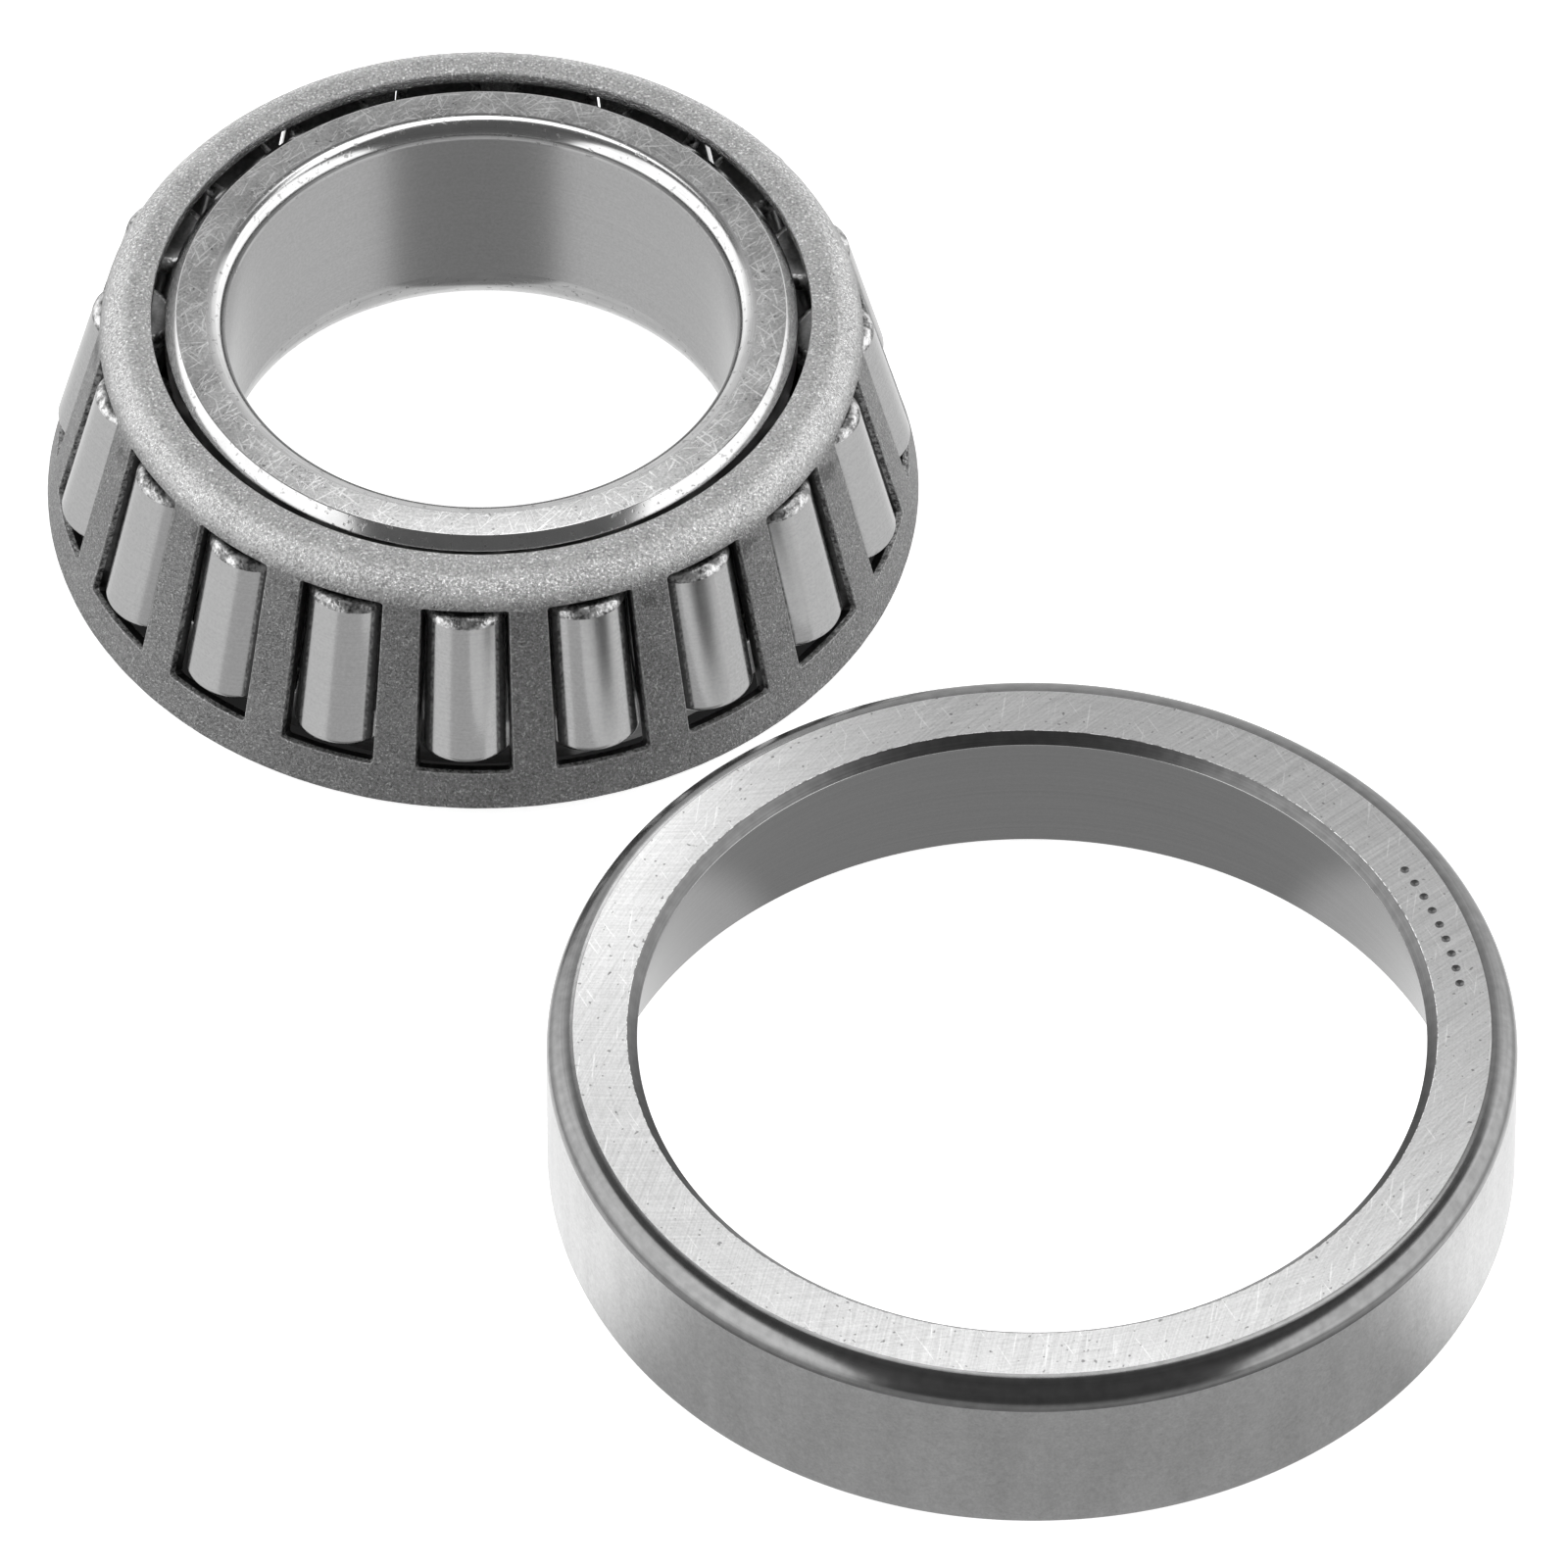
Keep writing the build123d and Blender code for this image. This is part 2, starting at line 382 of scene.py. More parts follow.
def dark_chamfer(graph, point, number):
    """The mouth's chamfer, left black from hardening."""
    lines = graph.round_and_round(point, 12.0, 1.0)
    scale = graph.noise(point, 1.6, 3.0)
    tone = graph.add(0.16, graph.swing(lines, 0.10), graph.swing(scale, 0.10))
    return Look(tone, 0.34, graph.times(lines, 0.004))


def bright_line(graph, point, number):
    """The burred edge where a ground surface was cut back to a dark one."""
    sparkle = graph.noise(point, 2.6, 3.0, 0.7)
    tone = graph.ramp(sparkle, 0.40, 0.58, 0.25, 1.0)
    return Look(tone, 0.42, graph.times(sparkle, 0.05))


def roller_side(graph, point, number):
    """Ground along the taper and polished."""
    shifted = graph.shifted(point, number, 17.3)
    lines = graph.round_and_round(shifted, 13.0, 0.7)
    grain = graph.noise(shifted, 6.5, 2.0)
    tone = graph.add(0.60, graph.swing(lines, 0.10), graph.swing(grain, 0.16))
    height = graph.add(graph.times(lines, 0.0007), graph.times(grain, 0.0005))
    return Look(tone, 0.17, height, 0.55)


def roller_end(graph, point, number):
    """The ends as the heading press leaves them, dull grey."""
    shifted = graph.shifted(point, number, 5.1)
    patches = graph.noise(shifted, 1.3, 3.0, 0.6)
    pits = graph.noise(shifted, 6.0, 2.0)
    tone = graph.add(0.24, graph.swing(patches, 0.26), graph.swing(pits, 0.16))
    height = graph.add(graph.times(patches, 0.02), graph.times(pits, 0.008))
    return Look(tone, 0.40, height)


def roller_corner(graph, point, number):
    """The small end's corner, tumbled into pale and dark patches."""
    shifted = graph.shifted(point, number, 5.1)
    patches = graph.noise(shifted, 1.5, 4.0, 0.7)
    pits = graph.noise(shifted, 6.0, 2.0)
    tone = graph.add(graph.ramp(patches, 0.38, 0.62, 0.20, 0.72), graph.swing(pits, 0.4))
    height = graph.add(graph.times(patches, 0.05), graph.times(pits, 0.02))
    return Look(tone, 0.34, height)


def pressed(graph, point, shine, roughness=0.42):
    """Sheet tumbled in grit until it is matt and speckled, with painted glints in its tone. shine is its mean
    tone.
    """
    cloud = graph.noise(point, 0.5, 3.0)
    grain = graph.noise(point, 6.6, 3.0, 0.75)
    # painted glints: sparse bright specks added to the tone, and a little to the height
    painted_glints = graph.ramp(graph.noise(point, 7.5, 1.0), 0.58, 0.70)
    uneven = graph.add(1.0, graph.swing(cloud, 0.4), graph.swing(grain, 2.6),
                       graph.times(painted_glints, 0.9))
    height = graph.add(graph.times(grain, 0.10), graph.times(painted_glints, 0.02))
    return Look(graph.times(uneven, shine), roughness, height)


def cage_wall(graph, point, number):
    """Dark on the wall, stained under the bend, and pale on the bend and flange: painted light on the flange,
    which faces up, and a painted highlight on the bend.
    """
    _, _, z = graph.split(point)
    drop = graph.math("SUBTRACT", CAGE_HIGH, z)
    # painted light: the flange and the bend, which face up, get a paler tone than the wall
    painted_light_on_top = graph.ramp(drop, 1.9, 0.5)
    # the bend, for its painted highlight (a paler tone still) and its lower roughness
    bend = graph.times(painted_light_on_top, graph.ramp(drop, 0.03, 0.3))
    under_bend = graph.times(graph.ramp(drop, 3.6, 2.6), graph.ramp(drop, 1.4, 2.2))
    stains = graph.ramp(graph.noise(point, 0.55, 2.0), 0.52, 0.62)
    clean = graph.mix(graph.times(stains, under_bend), 1.0, 0.6)
    painted_light_tone = graph.add(graph.mix(painted_light_on_top, 0.24, 0.44), graph.times(bend, 0.14))
    return pressed(graph, point, graph.times(painted_light_tone, clean), graph.mix(bend, 0.42, 0.25))


def cage_rim(graph, point, number):
    """The edge that the punch rolls over, brighter than the sheet."""
    return pressed(graph, point, 0.34)


def cage_burr(graph, point, number):
    """The outer part of a punched flank: torn and coarse, with painted light: brightest where it faces up, and
    dark on the flanks beside the roller.
    """
    tear = graph.noise(point, 4.2, 3.0, 0.7)
    _, _, upward = graph.split(graph.node("ShaderNodeNewGeometry").outputs["Normal"])
    beside = graph.ramp(tear, 0.36, 0.66, 0.07, 0.40)
    below = graph.ramp(tear, 0.36, 0.60, 0.30, 1.0)
    # painted light: the tone follows how far the flank faces up
    tone = graph.mix(graph.ramp(upward, 0.3, 0.8), beside, below)
    return Look(tone, 0.45, graph.times(tear, 0.09))


def cage_cut(graph, point, number):
    """The rest of the punched flank, smooth, with painted shade: dark, as it lies in shade between roller and
    sheet.
    """
    tear = graph.noise(point, 4.0, 3.0, 0.7)
    # painted shade: a low tone for the flank in the roller's shade
    tone = graph.add(0.09, graph.swing(tear, 0.14))
    return Look(tone, 0.34, graph.times(tear, 0.02))


FINISHES = {recipe.__name__: steel(recipe.__name__, recipe) for recipe in (
    ground_face, ground_back, bore_wall, raceway, polished_edge, satin, outside_wall,
    turned_edge, dark_chamfer, bright_line, roller_side, roller_end, roller_corner,
    cage_wall, cage_rim, cage_burr, cage_cut)}


# ---- meshes -------------------------------------------------------------------------------
MERGE_DISTANCE = 0.0005          # millimetres, far below the smallest edge


class Skin:
    """Collects strips of faces in millimetres, and makes one mesh of them."""

    def __init__(self):
        self.mesh = bmesh.new()
        self.finishes = []

    def strips(self, rows, finishes, loop_rows=False):
        """Joins closed rows of points, each row to the next, with a finish's name per strip."""
        made = [[self.mesh.verts.new(point) for point in row] for row in rows]
        following = made[1:] + (made[:1] if loop_rows else [])
        for row, after, finish in zip(made, following, finishes):
            if finish not in self.finishes:
                self.finishes.append(finish)
            slot = self.finishes.index(finish)
            for index in range(len(row)):
                side = (index + 1) % len(row)
                face = self.mesh.faces.new((row[index], row[side], after[side], after[index]))
                face.material_index = slot
                face.smooth = True

    def build(self, name):
        bmesh.ops.remove_doubles(self.mesh, verts=self.mesh.verts, dist=MERGE_DISTANCE)
        bmesh.ops.recalc_face_normals(self.mesh, faces=self.mesh.faces)
        bmesh.ops.scale(self.mesh, vec=(MM, MM, MM), verts=self.mesh.verts)
        data = bpy.data.meshes.new(name)
        self.mesh.to_mesh(data)
        self.mesh.free()
        for finish in self.finishes:
            data.materials.append(FINISHES[finish])
        return data


def new_piece(name, data):
    piece = bpy.data.objects.new(name, data)
    bpy.context.scene.collection.objects.link(piece)
    flats = piece.modifiers.new("true_flats", "WEIGHTED_NORMAL")
    flats.keep_sharp = True
    return piece


def round_corner(before, here, after, rounding, steps):
    """Points of the arc that rounds the corner at here."""
    before, here, after = Vector(before), Vector(here), Vector(after)
    arriving = (here - before).normalized()
    leaving = (after - here).normalized()
    turn = arriving.angle(leaving)
    across = (leaving - arriving * arriving.dot(leaving)).normalized()
    centre = here - arriving * rounding * math.tan(turn / 2) + across * rounding
    angles = [turn * step / steps for step in range(steps + 1)]
    return [centre + (arriving * math.sin(a) - across * math.cos(a)) * rounding for a in angles]


Corner = namedtuple("Corner", "radius height rounding finish corner_finish", defaults=[None])
ARC_STEP = math.radians(7)


def rounded_profile(corners):
    """Points round a closed profile, and the finish that follows each of them."""
    points, finishes = [], []
    for index, corner in enumerate(corners):
        before, after = corners[index - 1], corners[(index + 1) % len(corners)]
        here = Vector(corner[:2])
        if corner.rounding == 0:
            points.append(here)
            finishes.append(corner.finish)
            continue
        turn = (here - Vector(before[:2])).angle(Vector(after[:2]) - here)
        steps = max(3, math.ceil(turn / ARC_STEP))
        points += round_corner(before[:2], here, after[:2], corner.rounding, steps)
        finishes += [corner.corner_finish or corner.finish] * steps + [corner.finish]
    return points, finishes


def turned(name, corners, segments):
    """The mesh of a profile turned about Z."""
    points, finishes = rounded_profile(corners)
    angles = [2 * math.pi * segment / segments for segment in range(segments)]
    rows = [[(p.x * math.cos(a), p.x * math.sin(a), p.y) for a in angles] for p in points]
    skin = Skin()
    skin.strips(rows, finishes, loop_rows=True)
    return skin.build(name)


# ---- inner ring ---------------------------------------------------------------------------
def make_inner_ring():
    rise = math.tan(AXIS_ANGLE)
    low_distance = (AXIS_LARGE + LARGE_RIB_GAP) / math.cos(ROLLER_HALF_ANGLE)
    high_distance = (AXIS_SMALL - SMALL_RIB_GAP) / math.cos(ROLLER_HALF_ANGLE)

    def on_race(distance, depth=0.0):
        radius = distance * math.sin(RACE_ANGLE) - depth * math.cos(RACE_ANGLE)
        height = APEX - distance * math.cos(RACE_ANGLE) - depth * math.sin(RACE_ANGLE)
        return radius, height

    def up_rib(corner, radius):
        """A place on a rib's face, which stands square to the roller axes."""
        return radius, corner[1] + (radius - corner[0]) * rise

    low, high = on_race(low_distance), on_race(high_distance)
    rib_reach = RELIEF * math.cos(AXIS_ANGLE)
    data = turned("inner_ring_steel", [
        Corner(BORE, RING_LOW, BACK_BORE_ROUNDING, "ground_face", "polished_edge"),
        Corner(LARGE_RIB - LARGE_RIB_CHAMFER, RING_LOW, STONED_EDGE, "polished_edge"),
        Corner(LARGE_RIB, RING_LOW + LARGE_RIB_CHAMFER, STONED_EDGE, "satin"),
        Corner(*up_rib(low, LARGE_RIB), LARGE_RIB_EDGE, "raceway"),
        Corner(*up_rib(low, low[0] + rib_reach), 0, "satin"),
        Corner(*on_race(low_distance, RELIEF), RELIEF / 2, "satin"),
        Corner(*on_race(low_distance - RELIEF), 0, "raceway"),
        Corner(*on_race(high_distance + RELIEF), 0, "satin"),
        Corner(*on_race(high_distance, RELIEF), RELIEF / 2, "satin"),
        Corner(*up_rib(high, high[0] + rib_reach), 0, "satin"),
        Corner(*up_rib(high, SMALL_RIB), SMALL_RIB_EDGE, "satin"),
        Corner(SMALL_RIB, RING_HIGH - SMALL_RIB_CHAMFER, CHAMFER_EDGE, "polished_edge"),
        Corner(SMALL_RIB - SMALL_RIB_CHAMFER, RING_HIGH, CHAMFER_EDGE,
               "ground_face", "polished_edge"),
        Corner(BORE, RING_HIGH, FRONT_BORE_ROUNDING, "bore_wall", "polished_edge"),
    ], segments=360)
    return new_piece("inner_ring_steel", data)


# ---- outer ring ---------------------------------------------------------------------------
def make_outer_ring():
    mouth = RACEWAY_SMALL + MOUTH_CHAMFER
    lip = RACEWAY_SMALL + (OUTER_HIGH - OUTER_LOW - MOUTH_CHAMFER) * math.tan(CONTACT_ANGLE)
    data = turned("outer_ring_steel", [
        Corner(lip, OUTER_LOW, OUTER_LIP_ROUNDING, "ground_back", "polished_edge"),
        Corner(OUTSIDE, OUTER_LOW, OUTER_FRONT_ROUNDING, "outside_wall"),
        Corner(OUTSIDE, OUTER_HIGH, OUTER_BACK_ROUNDING, "ground_back", "turned_edge"),
        Corner(mouth, OUTER_HIGH, STONED_EDGE, "dark_chamfer", "bright_line"),
        Corner(RACEWAY_SMALL, OUTER_HIGH - MOUTH_CHAMFER, STONED_EDGE, "raceway"),
    ], segments=480)
    piece = new_piece("outer_ring_steel", punched(data))
    piece.location = OUTER_RING_PLACE
    return piece


def punched(data):
    """The ring's mesh with the row of plain dots cut into its back face."""
    dots = bmesh.new()
    for index in range(MARK_COUNT):
        turn = MARK_AZIMUTH + (index - (MARK_COUNT - 1) / 2) * MARK_PITCH
        place = Vector((MARK_RADIUS * math.cos(turn), MARK_RADIUS * math.sin(turn), OUTER_HIGH))
        # the cone's tip is down, and the face cuts it half-way up
        bmesh.ops.create_cone(dots, segments=MARK_SEGMENTS, radius1=0, radius2=2 * MARK_DOT * MM,
                              depth=2 * MARK_DEPTH * MM, cap_ends=True,
                              matrix=Matrix.Translation(place * MM))
    cutter_data = bpy.data.meshes.new("dots")
    dots.to_mesh(cutter_data)
    dots.free()
    cutter_data.materials.append(FINISHES["dark_chamfer"])
    cutter = bpy.data.objects.new("dots", cutter_data)
    blank = bpy.data.objects.new("ring_blank", data)
    for helper in cutter, blank:
        bpy.context.scene.collection.objects.link(helper)
    cut = blank.modifiers.new("dots", "BOOLEAN")
    cut.operation = "DIFFERENCE"
    cut.object = cutter
    cut.solver = "EXACT"
    cut.material_mode = "TRANSFER"
    evaluated = blank.evaluated_get(bpy.context.evaluated_depsgraph_get())
    result = bpy.data.meshes.new_from_object(evaluated)
    for helper in cutter, blank:
        bpy.data.objects.remove(helper)
    return result


# ---- rollers ------------------------------------------------------------------------------
def roller_mesh():
    """The mesh that all rollers share, upright, with its large end's middle at the origin."""
    large = AXIS_LARGE * math.tan(ROLLER_HALF_ANGLE) - RUNNING_CLEARANCE
    small = AXIS_SMALL * math.tan(ROLLER_HALF_ANGLE) - RUNNING_CLEARANCE
    dish = [(DIMPLE_RADIUS * share, DIMPLE_DEPTH * (1 - share ** 2))
            for share in (0.0, 0.25, 0.5, 0.75, 1.0)]
    low_dish = [Corner(out, deep, 0, "roller_end") for out, deep in dish]
    high_dish = [Corner(out, ROLLER_LENGTH - deep, 0, "roller_end") for out, deep in dish]
    return turned("roller_steel", low_dish + [
        Corner(large, 0, ROLLER_LARGE_CORNER, "roller_side", "polished_edge"),
        Corner(small, ROLLER_LENGTH, ROLLER_SMALL_CORNER, "roller_end", "roller_corner"),
    ] + high_dish[::-1], segments=128)


def make_rollers():
    shared = roller_mesh()
    made = []
    for number, node in enumerate(ROLLERS):
        where = joint(node + "_spin")
        roller = new_piece(node + "_steel", shared)
        axis = Vector(where["axis"])
        roller.matrix_world = (Matrix.Translation(where["pos_m"])
                               @ Vector((0, 0, 1)).rotation_difference(axis).to_matrix().to_4x4())
        roller.pass_index = number
        made.append(roller)
    return made


# ---- cage ---------------------------------------------------------------------------------
# A place in the cage's sheet is (along, depth): along its outer surface, up from where the
# rollers' large ends are, round the shoulder and in over the flange; and below that surface.
def along_wall(height):
    """Where the wall's outer surface, carried on straight, is this high."""
    level = APEX - SHEET_GAP * math.sin(CONTACT_ANGLE) - height
    return GENERATOR_LARGE - level / math.cos(CONTACT_ANGLE)


SHEET_LOW = along_wall(RING_LOW + CAGE_LOW)
BEND_TURN = math.pi / 2 - CONTACT_ANGLE
BEND_START = along_wall(CAGE_HIGH) - SHOULDER * math.tan(BEND_TURN / 2)
BEND_END = BEND_START + SHOULDER * BEND_TURN


def sheet_point(along, depth):
    """Radius and height of a place in the sheet."""
    distance = GENERATOR_LARGE - min(along, BEND_START)
    normal = CONTACT_ANGLE + min(max(along - BEND_START, 0), BEND_END - BEND_START) / SHOULDER
    inset, lever = SHEET_GAP + SHOULDER, SHOULDER - depth
    radius = (distance * math.sin(CONTACT_ANGLE) - inset * math.cos(CONTACT_ANGLE)
              + lever * math.cos(normal) - max(along - BEND_END, 0))
    height = (APEX - distance * math.cos(CONTACT_ANGLE) - inset * math.sin(CONTACT_ANGLE)
              + lever * math.sin(normal))
    return radius, height


SHEET_HIGH = BEND_END + sheet_point(BEND_END, 0)[0] - FLANGE_INNER
POCKET_LOW = -POCKET_GAP_LARGE
POCKET_HIGH = GENERATOR_LARGE - GENERATOR_SMALL + POCKET_GAP_SMALL
PATCH_LOW, PATCH_HIGH = POCKET_LOW - 0.5, POCKET_HIGH + 0.4
CORNER_STEPS = 4                 # in half of a pocket's corner
END_STEPS = 2 * CORNER_STEPS + 14
FLANK_STEPS = 2 * CORNER_STEPS + 20
ROLLOVER_STEPS = 4
SURFACE_SHARES = 1, 0.6, 0.3, 0.12   # of the way from a pocket's rim to its patch's border
SHEET_EDGE_STEPS = 6
EDGE_SPACING = 0.14              # of the rows between a patch and the sheet's edge


def pocket_half_width(along, depth):
    """Half a pocket's width. The flanks lean in, and hold the roller below its middle."""
    roller_radius = (GENERATOR_LARGE - along) * math.sin(ROLLER_HALF_ANGLE)
    reach = SHEET_GAP + SHEET
    inner = math.sqrt(reach * (2 * roller_radius - reach)) + POCKET_FLANK
    return roller_radius + (inner - roller_radius) * depth / SHEET


def round_trip(corners, sides):
    """Points round four corners' arcs, from the middle of one arc to the middle of the next."""
    points = []
    for index, steps in enumerate(sides):
        arc, next_arc = corners[index], corners[(index + 1) % 4]
        start, end = arc[-1], next_arc[0]
        straight = steps - 2 * CORNER_STEPS
        points += arc[CORNER_STEPS:]
        points += [start.lerp(end, step / straight) for step in range(1, straight)]
        points += next_arc[:CORNER_STEPS]
    return points


def pocket_loop(depth, growth):
    """(angle from the pocket's middle, along) round the pocket, this deep and this much larger."""
    low_half = pocket_half_width(POCKET_LOW, depth) + growth
    high_half = pocket_half_width(POCKET_HIGH, depth) + growth
    low, high = POCKET_LOW - growth, POCKET_HIGH + growth
    corners = [(-low_half, low), (low_half, low), (high_half, high), (-high_half, high)]
    arcs = [round_corner(corners[i - 1], corners[i], corners[(i + 1) % 4],
                         POCKET_CORNER + growth, 2 * CORNER_STEPS) for i in range(4)]
    loop = round_trip(arcs, (END_STEPS, FLANK_STEPS) * 2)
    return [Vector((math.asin(p.x / sheet_point(p.y, depth)[0]), p.y)) for p in loop]


def patch_border():
    """The same walk round the edge of one pocket's share of the sheet."""
    half = PITCH / 2
    corners = [Vector(c) for c in ((-half, PATCH_LOW), (half, PATCH_LOW),
                                   (half, PATCH_HIGH), (-half, PATCH_HIGH))]
    border = []
    for index, steps in enumerate((END_STEPS, FLANK_STEPS) * 2):
        start, end = corners[index], corners[(index + 1) % 4]
        border += [start.lerp(end, step / steps) for step in range(steps)]
    return border


def sheet_vertex(angle, along, depth):
    """A point of the sheet, uneven by a few micrometres as pressed sheet is."""
    radius, height = sheet_point(along, depth)
    here = Vector((radius * math.cos(angle), radius * math.sin(angle), height))
    uneven = sum(size * noise.noise(here * pitch) for size, pitch in WAVES)
    return here * (1 + uneven / here.length)


def pocket_patch(skin, azimuth):
    """The sheet round one pocket: outer surface, punched flanks and inner surface."""
    border = patch_border()
    rollover = [math.pi / 2 * step / ROLLOVER_STEPS for step in range(ROLLOVER_STEPS + 1)]
    rows, finishes = [], []

    def add_row(loop, depth, finish):
        rows.append([sheet_vertex(azimuth + angle, along, depth) for angle, along in loop])
        finishes.append(finish)

    def add_surface(depth, shares, finish):
        rim = pocket_loop(depth, POCKET_ROLLOVER)
        for share in shares:
            add_row([a.lerp(b, share) for a, b in zip(rim, border)], depth, finish)

    add_surface(0, SURFACE_SHARES, "cage_wall")
    for turn in rollover:
        growth = POCKET_ROLLOVER * (1 - math.sin(turn))
        depth = POCKET_ROLLOVER * (1 - math.cos(turn))
        finish = "cage_burr" if turn == rollover[-1] else "cage_rim"
        add_row(pocket_loop(depth, growth), depth, finish)
    for depth in BURR_DEPTH, CUT_DEPTH:
        add_row(pocket_loop(depth, 0), depth, "cage_cut")
    for turn in rollover[::-1]:
        growth = POCKET_ROLLOVER * (1 - math.sin(turn))
        depth = SHEET - POCKET_ROLLOVER * (1 - math.cos(turn))
        add_row(pocket_loop(depth, growth), depth, "cage_wall")
    add_surface(SHEET, SURFACE_SHARES[::-1], "cage_wall")
    skin.strips(rows, finishes[:-1])


def edge_places(end, inner_end):
    """Places in the sheet from its outer surface, round the edge at end, to its inner surface."""
    outer, outer_edge = Vector((inner_end, 0)), Vector((end, 0))
    inner, inner_edge = Vector((inner_end, SHEET)), Vector((end, SHEET))
    first = round_corner(outer, outer_edge, inner_edge, SHEET_EDGE, SHEET_EDGE_STEPS)
    second = round_corner(outer_edge, inner_edge, inner, SHEET_EDGE, SHEET_EDGE_STEPS)
    steps = math.ceil(abs(end - inner_end) / EDGE_SPACING)
    out = [outer.lerp(first[0], step / steps) for step in range(steps)]
    back = [second[-1].lerp(inner, step / steps) for step in range(1, steps + 1)]
    return out + first + second + back


def make_cage():
    skin = Skin()
    azimuths = [FIRST_AZIMUTH + index * PITCH for index in range(len(ROLLERS))]
    for azimuth in azimuths:
        pocket_patch(skin, azimuth)
    angles = [azimuth - PITCH / 2 + PITCH * step / END_STEPS
              for azimuth in azimuths for step in range(END_STEPS)]
    for end, inner_end in ((SHEET_LOW, PATCH_LOW), (SHEET_HIGH, PATCH_HIGH)):
        rows = [[sheet_vertex(angle, *place) for angle in angles]
                for place in edge_places(end, inner_end)]
        skin.strips(rows, ["cage_wall"] * (len(rows) - 1))
    return new_piece("cage_sheet_steel", skin.build("cage_sheet_steel"))


# ---- put the pieces on their bodies -------------------------------------------------------
def stands_for(piece, node):
    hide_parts(node)
    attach(piece, node)


stands_for(make_inner_ring(), "inner_ring")
stands_for(make_outer_ring(), "outer_ring")
stands_for(make_cage(), "cage")
for roller, node in zip(make_rollers(), ROLLERS):
    stands_for(roller, node)


# ---- floor, light and camera --------------------------------------------------------------
CAMERA_ELEVATION = math.radians(47.54)
CAMERA_DISTANCE = 1547
CAMERA_TARGET = (15.96, -20.26, FLOOR)
CAMERA_LENS = 675
CAMERA_SENSOR = 36

FLOOR_SIZE = 6000
FLOOR_DROP = 0.01                # below the steel
CARD_DROP = 0.005
CARD_STEPS = 96
ANYWHERE = 5000                  # farther than the camera


def seen_from_above(name, recipe):
    """A material that is clear from below. recipe gives its shader, and where else it is clear."""
    material = bpy.data.materials.new(name)
    material.use_nodes = True
    graph = Graph(material.node_tree)
    shader, away = recipe(graph)
    below = graph.node("ShaderNodeNewGeometry").outputs["Backfacing"]
    hidden = graph.math("MAXIMUM", below, away)
    clear = graph.node("ShaderNodeBsdfTransparent").outputs[0]
    seen = graph.node("ShaderNodeMixShader", {0: hidden, 1: shader, 2: clear})
    graph.node("ShaderNodeOutputMaterial", {"Surface": seen.outputs[0]})
    return material


def pale_floor():
    """A pale floor that throws no light back into the steel."""
    def paper(graph):
        matt = graph.node("ShaderNodeBsdfDiffuse", {"Color": (0.9, 0.9, 0.9, 1)}).outputs[0]
        lift = graph.node("ShaderNodeEmission", {"Color": (1, 1, 1, 1), "Strength": 0.85}).outputs[0]
        return graph.node("ShaderNodeAddShader", {0: matt, 1: lift}).outputs[0], 0.0

    bpy.ops.mesh.primitive_plane_add(size=FLOOR_SIZE * MM, location=(0, 0, (FLOOR - FLOOR_DROP) * MM))
    floor = bpy.context.object
    floor.name = "pale_floor"
    floor.visible_glossy = False
    floor.data.materials.append(seen_from_above("pale_floor", paper))


def card(name, place, inner, outer, reach, shade, seen_by_camera=False):
    """A flat glowing ring on the floor, for the steel within reach of its axis to mirror."""
    def glow(graph):
        point, _ = graph.place()
        light = graph.node("ShaderNodeEmission", {"Strength": shade(graph, point)}).outputs[0]
        toward = graph.node("ShaderNodeNewGeometry").outputs["Incoming"]
        length = graph.node("ShaderNodeLightPath").outputs["Ray Length"]
        back = graph.node("ShaderNodeVectorMath", {
            0: toward, "Scale": graph.times(length, 1 / MM)}, operation="SCALE").outputs[0]
        onlooker = graph.radius(graph.add_vectors(point, back))
        return light, graph.math("GREATER_THAN", onlooker, reach)

    FINISHES[name] = seen_from_above(name, glow)
    skin = Skin()
    turns = [2 * math.pi * step / CARD_STEPS for step in range(CARD_STEPS)]
    skin.strips([[(r * math.cos(a), r * math.sin(a), 0) for a in turns] for r in (outer, inner)],
                [name])
    ring = bpy.data.objects.new(name, skin.build(name))
    bpy.context.scene.collection.objects.link(ring)
    ring.location = (place[0], place[1], (FLOOR - CARD_DROP) * MM)
    ring.visible_camera = seen_by_camera
    ring.visible_diffuse = False
    ring.visible_shadow = False


def shade_under_cage(graph, point):
    """The floor under the cage, nearly black."""
    return graph.ramp(graph.radius(point), 20.0, 22.0, 0.015, 0.03)


def round_from_front(graph, point):
    """Degrees round the piece from the camera's side, either way."""
    x, y, _ = graph.split(point)
    turn = graph.math("ARCTAN2", x, graph.math("MULTIPLY", y, -1.0))
    return graph.math("ABSOLUTE", graph.math("DEGREES", turn))


def painted_table_outside(graph, point):
    """A painted reflection of the table round the outer ring, with painted shade: grey in front and bright at the
    sides.
    """
    return graph.ramp(round_from_front(graph, point), 50, 74, 0.44, 1.3)


def painted_table_inside(graph, point):
    """A painted reflection of the table inside the outer ring, with painted shade: dark where its back wall
    mirrors it.
    """
    turn = round_from_front(graph, point)
    sides = graph.ramp(turn, 141, 95, 0.48, 1.2)
    return graph.mix(graph.ramp(turn, 138, 146), sides, 0.27)


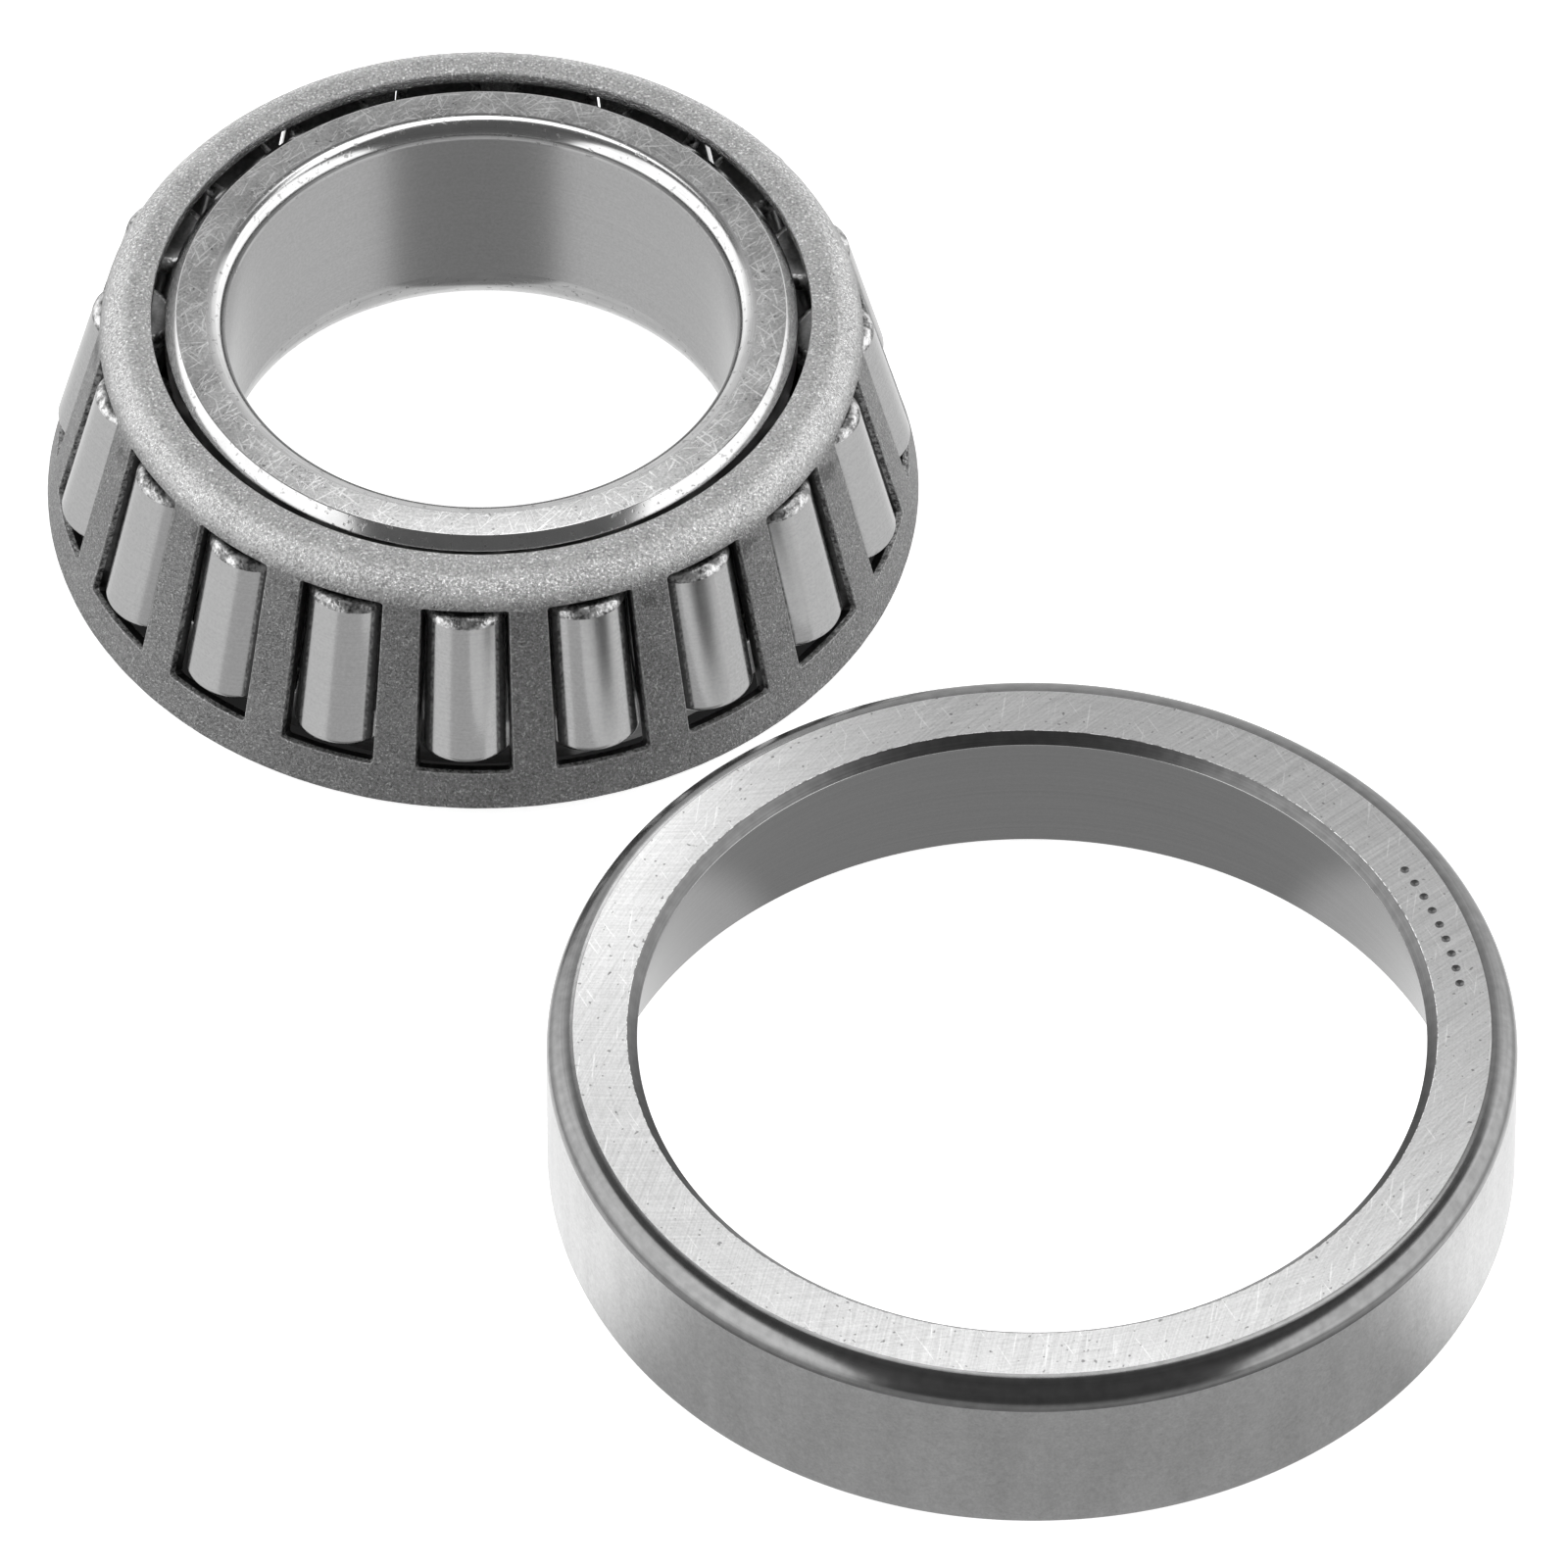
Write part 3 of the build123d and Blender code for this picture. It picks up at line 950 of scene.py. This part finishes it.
def light_tent():
    """A white tent that is dark towards the camera's side, which gives the steel its bands."""
    world = bpy.data.worlds.new("light_tent")
    world.use_nodes = True
    bpy.context.scene.world = world
    graph = Graph(world.node_tree)
    direction = graph.node("ShaderNodeTexCoord").outputs["Generated"]
    x, y, z = graph.split(direction)
    front = graph.math("MULTIPLY", y, -1.0)
    azimuth = graph.math("DEGREES", graph.math("ARCTAN2", x, front))
    elevation = graph.math("DEGREES", graph.math("ARCSINE", z))
    off_front = graph.math("ABSOLUTE", azimuth)

    # a dark opening towards the camera, from low down to straight overhead
    overhead = graph.math("MAXIMUM", z, 0.0)
    squares = graph.add(graph.times(front, front), graph.times(overhead, overhead))
    toward = graph.math("DEGREES", graph.math("ARCTAN2", x, graph.math("SQRT", squares)))
    in_front = graph.ramp(graph.add(front, graph.times(overhead, 0.9)), 0.0, 0.12)
    opening = graph.times(graph.ramp(toward, -36, -33), graph.ramp(toward, 44, 40), in_front)
    # bright soft boxes stand at both sides, above a paler table
    wall = graph.ramp(elevation, -22, 2, 0.74, 1.75)
    wall = graph.mix(graph.ramp(elevation, -36, -46), wall, 0.68)
    # the back wall falls off behind
    back = graph.times(graph.ramp(off_front, 118, 160), graph.ramp(elevation, 66, 56))
    wall = graph.mix(back, wall, graph.ramp(elevation, 25, 55, 0.9, 0.58))
    # in the opening the table is pale near the bearing, and dark close under the camera
    low = graph.mix(graph.ramp(elevation, -36, -42), 0.50, 0.25)
    dark = graph.mix(graph.ramp(elevation, -18, -6), low, 0.13)
    around = graph.mix(opening, wall, dark)
    rays = graph.node("ShaderNodeLightPath").outputs["Is Camera Ray"]
    strength = graph.mix(rays, around, 1.0)
    lit = graph.node("ShaderNodeBackground", {"Color": (1, 1, 1, 1), "Strength": strength})
    graph.node("ShaderNodeOutputWorld", {"Surface": lit.outputs[0]})


def soft_box(name, place, target, size, brightness):
    """A rectangular light as bright as a white wall at 1; place, target and size in mm."""
    data = bpy.data.lights.new(name, "AREA")
    data.shape = "RECTANGLE"
    data.size, data.size_y = size[0] * MM, size[1] * MM
    data.energy = brightness * math.pi * data.size * data.size_y
    lamp = bpy.data.objects.new(name, data)
    bpy.context.scene.collection.objects.link(lamp)
    lamp.location = Vector(place) * MM
    lamp.rotation_mode = "QUATERNION"
    lamp.rotation_quaternion = (Vector(target) - Vector(place)).to_track_quat("-Z", "Y")


def studio_camera():
    data = bpy.data.cameras.new("camera")
    data.lens = CAMERA_LENS
    data.sensor_width = CAMERA_SENSOR
    data.clip_start, data.clip_end = 0.1, 10
    camera = bpy.data.objects.new("camera", data)
    bpy.context.scene.collection.objects.link(camera)
    back = Vector((0, -math.cos(CAMERA_ELEVATION), math.sin(CAMERA_ELEVATION)))
    camera.location = (Vector(CAMERA_TARGET) + back * CAMERA_DISTANCE) * MM
    camera.rotation_mode = "QUATERNION"
    camera.rotation_quaternion = (-back).to_track_quat("-Z", "Y")
    bpy.context.scene.camera = camera


pale_floor()
card("shade_under_cage", (0, 0), LARGE_RIB - 1, 21.9, ANYWHERE, shade_under_cage, True)
# painted reflections: glowing cards with the table's painted shade, seen only in the outer ring's steel
card("table_outside_ring", OUTER_RING_PLACE, OUTSIDE - 1.5, OUTSIDE + 14, OUTSIDE + 0.5, painted_table_outside)
card("table_inside_ring", OUTER_RING_PLACE, 1, OUTSIDE - 1.5, OUTSIDE + 0.5, painted_table_inside)
light_tent()
soft_box("over_inner_ring", (0, 24, 62), (0, -15, RING_HIGH), (22, 22), 2.4)
soft_box("over_outer_ring", (42, 20, 145), (29, -91, OUTER_HIGH), (90, 54), 1.9)
studio_camera()
bpy.context.scene.view_settings.view_transform = "Standard"
